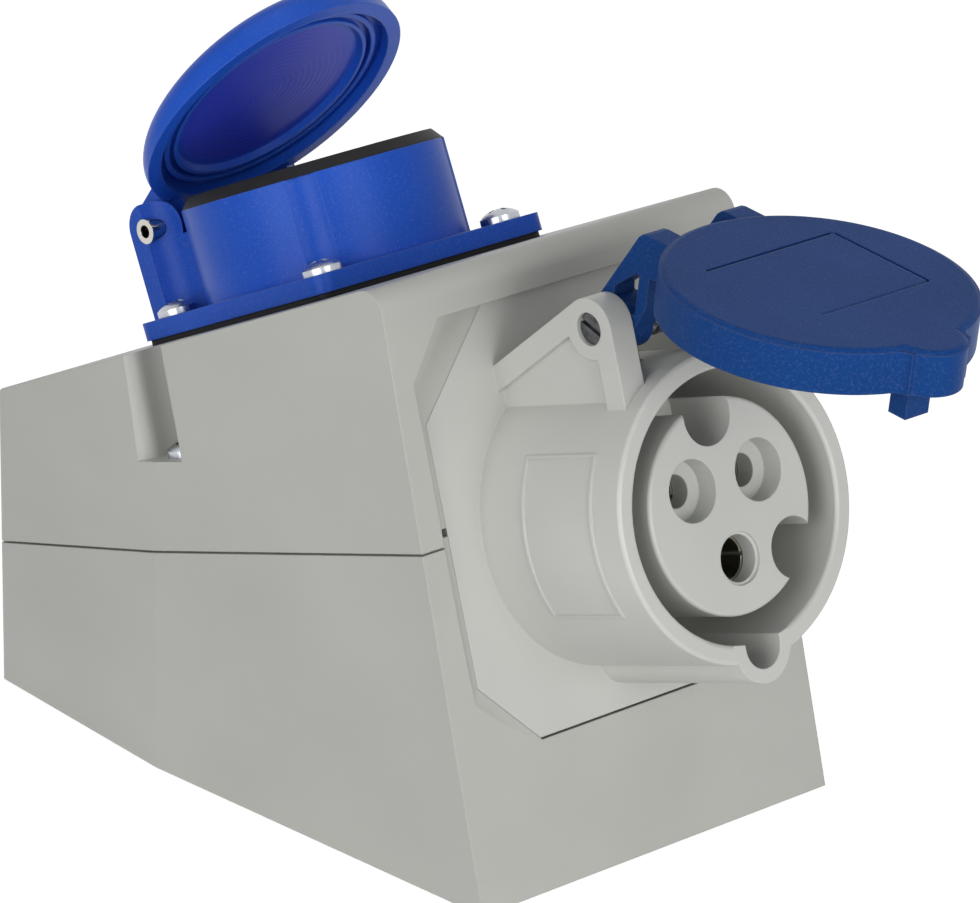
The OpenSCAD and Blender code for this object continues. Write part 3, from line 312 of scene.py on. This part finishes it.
def metal(name, base, tarnish, rough, marks=0.5, depth=0.006, dulled=0.35):
    """Bare or plated metal: drawing or turning marks of a given size in mm, and a patchy film."""
    material, tree, output = new_material(name)
    place = node(tree, "ShaderNodeTexCoord").outputs["Object"]
    fine = node(tree, "ShaderNodeTexNoise", {"Vector": place, "Scale": 1 / (marks * MM), "Detail": 3.0})
    film = node(tree, "ShaderNodeTexNoise", {"Vector": place, "Scale": 1 / (2.2 * MM), "Detail": 4.0, "Roughness": 0.6})
    spread = node(
        tree,
        "ShaderNodeMapRange",
        {"Value": film.outputs["Fac"], "From Min": 0.4, "From Max": 0.7, "To Max": dulled},
    )
    tone = node(
        tree,
        "ShaderNodeMix",
        {"Factor": spread.outputs["Result"], "A": colour(base), "B": colour(tarnish)},
        data_type="RGBA",
    )
    haze = node(
        tree, "ShaderNodeMapRange", {"Value": fine.outputs["Fac"], "To Min": rough * 0.7, "To Max": rough * 1.4}
    )
    edges = node(tree, "ShaderNodeBevel", {"Radius": 0.12 * MM}, samples=4)
    relief = node(
        tree,
        "ShaderNodeBump",
        {"Strength": 1.0, "Distance": depth * MM, "Height": fine.outputs["Fac"], "Normal": edges.outputs["Normal"]},
    )
    shader = node(
        tree,
        "ShaderNodeBsdfPrincipled",
        {
            "Base Color": tone.outputs["Result"],
            "Metallic": 1.0,
            "Roughness": haze.outputs["Result"],
            "Normal": relief.outputs["Normal"],
        },
    )
    tree.links.new(shader.outputs["BSDF"], output.inputs["Surface"])
    return material


def place_piece(name, shape, at, material, body, replaced):
    """Makes an object of a mesh that was shaped round the origin, with its place in the mesh."""
    bmesh.ops.transform(shape, matrix=at, verts=shape.verts)
    bmesh.ops.recalc_face_normals(shape, faces=shape.faces)
    mesh = bpy.data.meshes.new(name)
    shape.to_mesh(mesh)
    shape.free()
    mesh.materials.append(material)
    for face in mesh.polygons:
        face.use_smooth = True
    piece = bpy.data.objects.new(name, mesh)
    bpy.context.scene.collection.objects.link(piece)
    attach(piece, body)
    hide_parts(*replaced)
    return piece


class SocketBoxColours(bpy.types.PropertyGroup):
    """Colours that a maker would change, as sRGB hex values."""

    box_grey: bpy.props.StringProperty(name="Box grey", description="Box mouldings", default="b5b6b0")
    socket_grey: bpy.props.StringProperty(name="Socket grey", description="Round socket", default="c3c4bf")
    lid_blue: bpy.props.StringProperty(name="Lid blue", description="Round lid", default="113e7e")
    flush_blue: bpy.props.StringProperty(name="Flush blue", description="Flush socket and its lid", default="1e55c2")
    dish_painted_glow: bpy.props.StringProperty(name="Dish painted glow", description="Inside of the flush lid", default="3a2fb0")


class SocketBoxSizes(bpy.types.PropertyGroup):
    """Sizes that the fine pieces and finishes start from."""

    edge_round: bpy.props.FloatProperty(
        name="Edge round", description="Radius of a moulded edge in mm", default=0.35, min=0.1, max=0.8
    )
    box_grain: bpy.props.FloatProperty(
        name="Box grain", description="Size of the box's grain as drawn, in mm", default=0.4, min=0.1, max=1.0
    )
    wire: bpy.props.FloatProperty(
        name="Spring wire", description="Radius of the spring's wire", default=0.0005, unit="LENGTH", precision=5
    )
    coil: bpy.props.FloatProperty(
        name="Spring coil", description="Radius of the coil's middle line", default=0.0035, unit="LENGTH", precision=5
    )


class SOCKETBOX_OT_housing(bpy.types.Operator):
    """Finish the rear housing and the front cover."""

    bl_idname = "socketbox.housing"
    bl_label = "Box mouldings"

    def execute(self, context):
        look = context.scene.socketbox_colours
        size = context.scene.socketbox_sizes
        # Polycarbonate with a satin skin: even, slightly warm grey
        finish_nodes(
            moulded_plastic(
                "polycarbonate_box_grey",
                look.box_grey,
                "afb0aa",
                0.42,
                grain=size.box_grain,
                depth=0.008,
                edge=size.edge_round,
                edge_highlight=0.35,
            ),
            ["rear_housing", "front_cover"],
        )
        return {"FINISHED"}


class SOCKETBOX_OT_seals(bpy.types.Operator):
    """Finish the rubber seals, the cord in the joint and the cable grommet."""

    bl_idname = "socketbox.seals"
    bl_label = "Seals and grommet"

    def execute(self, context):
        finish_nodes(
            moulded_rubber("rubber_epdm_black", "101012", "343437"),
            [
                "housing_seal",
                "cable_grommet",
                "round_socket_gasket",
                "round_lid_seal",
                "flush_gasket",
                "flush_collar_seal",
            ],
        )
        return {"FINISHED"}


class SOCKETBOX_OT_fixings(bpy.types.Operator):
    """Finish the screws, the pin and the rivet."""

    bl_idname = "socketbox.fixings"
    bl_label = "Screws, pin and rivet"

    def execute(self, context):
        # Zinc-plated steel: bluish white, with a soft haze
        finish_nodes(
            metal("steel_zinc_plated", "b9bcc2", "8d8f94", 0.26),
            [
                "cover_screws",
                "round_socket_screws",
                "insert_screws",
                "terminal_screws",
                "flush_screws",
                "flush_centre_screw",
                "flush_terminal_screws",
            ],
        )
        # Steel rivet, nickel-plated: brighter and smoother
        finish_nodes(metal("steel_nickel_plated", "c6c4bd", "9b9890", 0.16, dulled=0.2), ["flush_hinge_rivet"])
        # Hinge pin of plain drawn steel, drawn dark as painted shade for the recess it sits in
        finish_nodes(metal("steel_drawn_painted_shade", "75767a", "3c3d40", 0.34, dulled=0.8), ["round_hinge_pin"])
        return {"FINISHED"}


class SOCKETBOX_OT_contacts(bpy.types.Operator):
    """Finish the contact sleeves, terminals and the earth strap."""

    bl_idname = "socketbox.contacts"
    bl_label = "Contacts"

    def execute(self, context):
        # Brass under nickel: grey with a breath of yellow
        finish_nodes(
            metal("brass_nickel_plated", "a9a69b", "7d7a6e", 0.3, dulled=0.5),
            ["line_contact", "neutral_contact", "earth_contact"],
        )
        finish_nodes(
            metal("brass_drawn", "c9a868", "8f7442", 0.28, dulled=0.5),
            ["flush_line_contact", "flush_neutral_contact", "flush_earth_clip"],
        )
        return {"FINISHED"}


class SOCKETBOX_OT_round_socket(bpy.types.Operator):
    """Finish the round socket, its insert and the carrier behind it."""

    bl_idname = "socketbox.round_socket"
    bl_label = "Round socket"

    def execute(self, context):
        look = context.scene.socketbox_colours
        size = context.scene.socketbox_sizes
        # Polyamide, half-gloss: paler and smoother than the box
        finish_nodes(
            moulded_plastic(
                "polyamide_socket_grey",
                look.socket_grey,
                "bdbeb9",
                0.33,
                grain=0.5,
                depth=0.004,
                edge=size.edge_round,
                edge_highlight=0.45,
                waves=0.25,
            ),
            ["round_socket_housing"],
        )
        finish_nodes(
            moulded_plastic(
                "polyamide_insert_grey", "c2c3be", "bcbdb8", 0.38, grain=0.45, depth=0.006, edge=0.3, edge_highlight=0.4
            ),
            ["contact_insert", "flush_carrier"],
        )
        finish_nodes(moulded_plastic("polyamide_black", "222224", "1a1a1c", 0.5), ["contact_carrier"])
        return {"FINISHED"}


class SOCKETBOX_OT_round_lid(bpy.types.Operator):
    """Finish the round lid: its blue has a coarser grain, with a painted sheen that draws the grain's peaks lighter."""

    bl_idname = "socketbox.round_lid"
    bl_label = "Round lid"

    def execute(self, context):
        look = context.scene.socketbox_colours
        finish_nodes(
            moulded_plastic(
                "polyamide_lid_blue",
                look.lid_blue,
                "113870",
                0.42,
                grain=0.45,
                depth=0.016,
                edge=0.4,
                edge_highlight=0.3,
                pale=0.16,
                peak_sheen=0.15,
                waves=0.4,
                shine=0.06,
            ),
            ["round_lid"],
        )
        return {"FINISHED"}


class SOCKETBOX_OT_hinge_spring(bpy.types.Operator):
    """Wind the lid's torsion spring from round wire: one spin with a pitch, and two straight legs."""

    bl_idname = "socketbox.hinge_spring"
    bl_label = "Hinge spring"

    def execute(self, context):
        size = context.scene.socketbox_sizes
        half = SPRING_HALF * MM
        sweep = math.radians(SPRING_TURNS * 360 + 90 - SPRING_START - SPRING_LEG_TURN - ROUND_LID_OPEN)
        shape = bmesh.new()
        bmesh.ops.create_circle(shape, cap_ends=False, segments=12, radius=size.wire)
        # The wire's section stands square to +X at the coil's lowest point
        start = Matrix.Translation((0, -half, -size.coil)) @ Matrix.Rotation(math.radians(90), 4, "Y")
        bmesh.ops.transform(shape, matrix=start, verts=shape.verts)
        first = list(shape.edges)
        made = bmesh.ops.spin(
            shape,
            geom=first,
            cent=(0, 0, 0),
            axis=(0, 1, 0),
            dvec=(0, 2 * half / SPRING_STEPS, 0),
            angle=sweep,
            steps=SPRING_STEPS,
            use_merge=False,
            use_duplicate=False,
        )
        last = [item for item in made["geom_last"] if isinstance(item, bmesh.types.BMEdge)]
        run = Matrix.Rotation(sweep, 3, "Y") @ Vector((-1, 0, 0))
        legs = (Vector((1, 0, 0)) * SPRING_LEGS[0] * MM, run * SPRING_LEGS[1] * MM)
        for ring, leg in zip((first, last), legs):
            grown = bmesh.ops.extrude_edge_only(shape, edges=ring)["geom"]
            verts = [item for item in grown if isinstance(item, bmesh.types.BMVert)]
            bmesh.ops.translate(shape, verts=verts, vec=leg)
            bmesh.ops.contextual_create(
                shape, geom=[item for item in grown if isinstance(item, bmesh.types.BMEdge) and item.is_boundary]
            )
        hinge = middle_of("round_hinge_pin")
        at = Matrix.Translation((hinge.x, 0, hinge.z)) @ Matrix.Rotation(SOCKET_TURN, 4, "Y")
        place_piece(
            "round_lid_spring_wire",
            shape,
            at,
            metal("steel_spring_wire", "a7a8aa", "6c6d70", 0.22, marks=0.3, dulled=0.4),
            "box",
            ["round_lid_spring"],
        )
        return {"FINISHED"}


class SOCKETBOX_OT_flush_socket(bpy.types.Operator):
    """Finish the flush socket's body."""

    bl_idname = "socketbox.flush_socket"
    bl_label = "Flush socket"

    def execute(self, context):
        look = context.scene.socketbox_colours
        finish_nodes(
            moulded_plastic(
                "polyamide_flush_blue",
                look.flush_blue,
                "194cb4",
                0.34,
                grain=0.45,
                depth=0.010,
                edge=0.35,
                edge_highlight=0.3,
                pale=0.18,
                peak_sheen=0.15,
                waves=0.4,
                shine=0.15,
            ),
            ["flush_socket_body"],
        )
        return {"FINISHED"}


class SOCKETBOX_OT_flush_lid(bpy.types.Operator):
    """Finish the flush lid, with a painted glow in its thin middle: a violet tint for the light that comes through."""

    bl_idname = "socketbox.flush_lid"
    bl_label = "Flush lid"

    def execute(self, context):
        look = context.scene.socketbox_colours
        material = moulded_plastic(
            "polyamide_flush_lid_blue",
            look.flush_blue,
            "194cb4",
            0.34,
            grain=0.45,
            depth=0.010,
            edge=0.35,
            edge_highlight=0.3,
            pale=0.18,
            peak_sheen=0.1,
            waves=0.4,
            shine=0.15,
        )
        tree = material.node_tree
        shader = tree.nodes["Principled BSDF"]
        blue = shader.inputs["Base Color"].links[0].from_socket
        skin = shader.inputs["Normal"].links[0].from_socket

        # The lid's own place, with its centre line along Z and its rim at height nought
        out = Matrix.Rotation(FLUSH_LID_TURN, 3, "Y") @ Vector(FLUSH_LID_REACH) * MM
        centre = middle_of("flush_hinge_rivet") + out
        place = node(
            tree,
            "ShaderNodeMapping",
            {
                "Vector": node(tree, "ShaderNodeTexCoord").outputs["Object"],
                "Location": centre,
                "Rotation": (0, FLUSH_LID_TURN, 0),
            },
            vector_type="TEXTURE",
        )
        plane = node(
            tree, "ShaderNodeVectorMath", {0: place.outputs["Vector"], 1: (1, 1, 0)}, operation="MULTIPLY"
        )
        reach = node(tree, "ShaderNodeVectorMath", {0: plane.outputs["Vector"]}, operation="LENGTH")
        height = node(tree, "ShaderNodeSeparateXYZ", {"Vector": place.outputs["Vector"]})
        inside = node(
            tree,
            "ShaderNodeMapRange",
            {"Value": reach.outputs["Value"], "From Min": DISH_END * MM, "From Max": DISH_FULL * MM, "To Max": 0.6},
        )
        under = node(
            tree,
            "ShaderNodeMapRange",
            {"Value": height.outputs["Z"], "From Min": DISH_FLOOR[1] * MM, "From Max": DISH_FLOOR[0] * MM},
        )
        dish = node(
            tree, "ShaderNodeMath", {0: inside.outputs["Result"], 1: under.outputs["Result"]}, operation="MULTIPLY"
        )
        # Painted glow: the dish is drawn violet for the light that comes through the thin middle
        violet = node(
            tree,
            "ShaderNodeMix",
            {"Factor": dish.outputs[0], "A": blue, "B": colour(look.dish_painted_glow)},
            data_type="RGBA",
        )

        # Turning marks of the tool's core in the dish: a wave's period is 2 pi / (20 x scale)
        rings = node(
            tree,
            "ShaderNodeTexWave",
            {
                "Vector": place.outputs["Vector"],
                "Scale": 2 * math.pi / (20 * DISH_PITCH * MM),
                "Distortion": 0.6,
                "Detail": 1.0,
            },
            wave_type="RINGS",
            rings_direction="Z",
        )
        turned = node(
            tree, "ShaderNodeMath", {0: rings.outputs["Fac"], 1: dish.outputs[0]}, operation="MULTIPLY"
        )
        relief = node(
            tree,
            "ShaderNodeBump",
            {"Strength": 1.0, "Distance": 0.03 * MM, "Height": turned.outputs[0], "Normal": skin},
        )
        tree.links.new(violet.outputs["Result"], shader.inputs["Base Color"])
        tree.links.new(relief.outputs["Normal"], shader.inputs["Normal"])
        finish_nodes(material, ["flush_lid"])
        return {"FINISHED"}


class SOCKETBOX_OT_stage(bpy.types.Operator):
    """Make the floor, the lights, the white surroundings and the camera."""

    bl_idname = "socketbox.stage"
    bl_label = "Stage"

    def execute(self, context):
        scene = context.scene
        scene.view_settings.view_transform = "Standard"

        # Camera at the photograph's viewing angle
        eye = Vector(PHOTO_EYE) * MM
        ahead = Vector(PHOTO_AHEAD).normalized()
        right = ahead.cross(Vector(PHOTO_UP)).normalized()
        up = right.cross(ahead)
        data = bpy.data.cameras.new("photo_camera")
        data.lens = PHOTO_LENS
        data.sensor_width = PHOTO_SENSOR
        data.sensor_fit = "HORIZONTAL"
        data.clip_end = 20.0
        camera = bpy.data.objects.new("photo_camera", data)
        camera.matrix_world = Matrix((right, up, -ahead)).transposed().to_4x4()
        camera.location = eye
        scene.collection.objects.link(camera)
        scene.camera = camera

        # Floor
        shape = bmesh.new()
        bmesh.ops.create_grid(shape, x_segments=2, y_segments=2, size=3.0)
        mesh = bpy.data.meshes.new("studio_floor")
        bmesh.ops.translate(shape, verts=shape.verts, vec=(0, 0, -0.2 * MM))
        shape.to_mesh(mesh)
        shape.free()
        floor = bpy.data.objects.new("studio_floor", mesh)
        scene.collection.objects.link(floor)
        material, tree, output = new_material("paper_floor_white")
        paper = node(tree, "ShaderNodeBsdfDiffuse", {"Color": colour("e8e8e8")})
        lift = node(tree, "ShaderNodeMath", {0: seen_rays(tree), 1: FLOOR_LIFT}, operation="MULTIPLY")
        glow = node(tree, "ShaderNodeEmission", {"Color": (1, 1, 1, 1), "Strength": lift.outputs[0]})
        both = node(tree, "ShaderNodeAddShader", {0: paper.outputs[0], 1: glow.outputs[0]})
        tree.links.new(both.outputs[0], output.inputs["Surface"])
        mesh.materials.append(material)

        # White surroundings, which light the object at a plain level
        world = bpy.data.worlds.new("white_studio")
        world.use_nodes = True
        tree = world.node_tree
        tree.nodes.clear()
        level = node(tree, "ShaderNodeMapRange", {"Value": seen_rays(tree), "To Min": WORLD_LIGHT, "To Max": 1.0})
        sky = node(tree, "ShaderNodeBackground", {"Color": (1, 1, 1, 1), "Strength": level.outputs["Result"]})
        out = node(tree, "ShaderNodeOutputWorld", {"Surface": sky.outputs[0]})
        out.is_active_output = True
        scene.world = world

        # Soft boxes: one on each seen side and one overhead
        target = Vector(SOFT_BOX_AIM) * MM
        for name, place, size, power in SOFT_BOXES:
            light = bpy.data.lights.new(name, "AREA")
            light.shape = "SQUARE"
            light.size = size * MM
            light.energy = power
            lamp = bpy.data.objects.new(name, light)
            lamp.location = Vector(place) * MM
            lamp.rotation_euler = (target - lamp.location).to_track_quat("-Z", "Y").to_euler()
            scene.collection.objects.link(lamp)
        return {"FINISHED"}


class SOCKETBOX_PT_panel(bpy.types.Panel):
    """Lists the steps that dress the socket box."""

    bl_label = "Socket box"
    bl_idname = "SOCKETBOX_PT_panel"
    bl_space_type = "VIEW_3D"
    bl_region_type = "UI"
    bl_category = "Socket box"

    def draw(self, context):
        for name in ("box_grey", "socket_grey", "lid_blue", "flush_blue", "dish_painted_glow"):
            self.layout.prop(context.scene.socketbox_colours, name)
        for name in ("edge_round", "box_grain", "wire", "coil"):
            self.layout.prop(context.scene.socketbox_sizes, name)
        for step in STEPS:
            self.layout.operator(step.bl_idname)


STEPS = (
    SOCKETBOX_OT_housing,
    SOCKETBOX_OT_seals,
    SOCKETBOX_OT_fixings,
    SOCKETBOX_OT_contacts,
    SOCKETBOX_OT_round_socket,
    SOCKETBOX_OT_round_lid,
    SOCKETBOX_OT_hinge_spring,
    SOCKETBOX_OT_flush_socket,
    SOCKETBOX_OT_flush_lid,
    SOCKETBOX_OT_stage,
)
CLASSES = (SocketBoxColours, SocketBoxSizes) + STEPS + (SOCKETBOX_PT_panel,)


def register():
    for item in CLASSES:
        bpy.utils.register_class(item)
    bpy.types.Scene.socketbox_colours = bpy.props.PointerProperty(type=SocketBoxColours)
    bpy.types.Scene.socketbox_sizes = bpy.props.PointerProperty(type=SocketBoxSizes)


def unregister():
    del bpy.types.Scene.socketbox_sizes
    del bpy.types.Scene.socketbox_colours
    for item in reversed(CLASSES):
        bpy.utils.unregister_class(item)


def main():
    register()
    for step in (
        bpy.ops.socketbox.housing,
        bpy.ops.socketbox.seals,
        bpy.ops.socketbox.fixings,
        bpy.ops.socketbox.contacts,
        bpy.ops.socketbox.round_socket,
        bpy.ops.socketbox.round_lid,
        bpy.ops.socketbox.hinge_spring,
        bpy.ops.socketbox.flush_socket,
        bpy.ops.socketbox.flush_lid,
        bpy.ops.socketbox.stage,
    ):
        step()


if __name__ == "__main__":
    main()
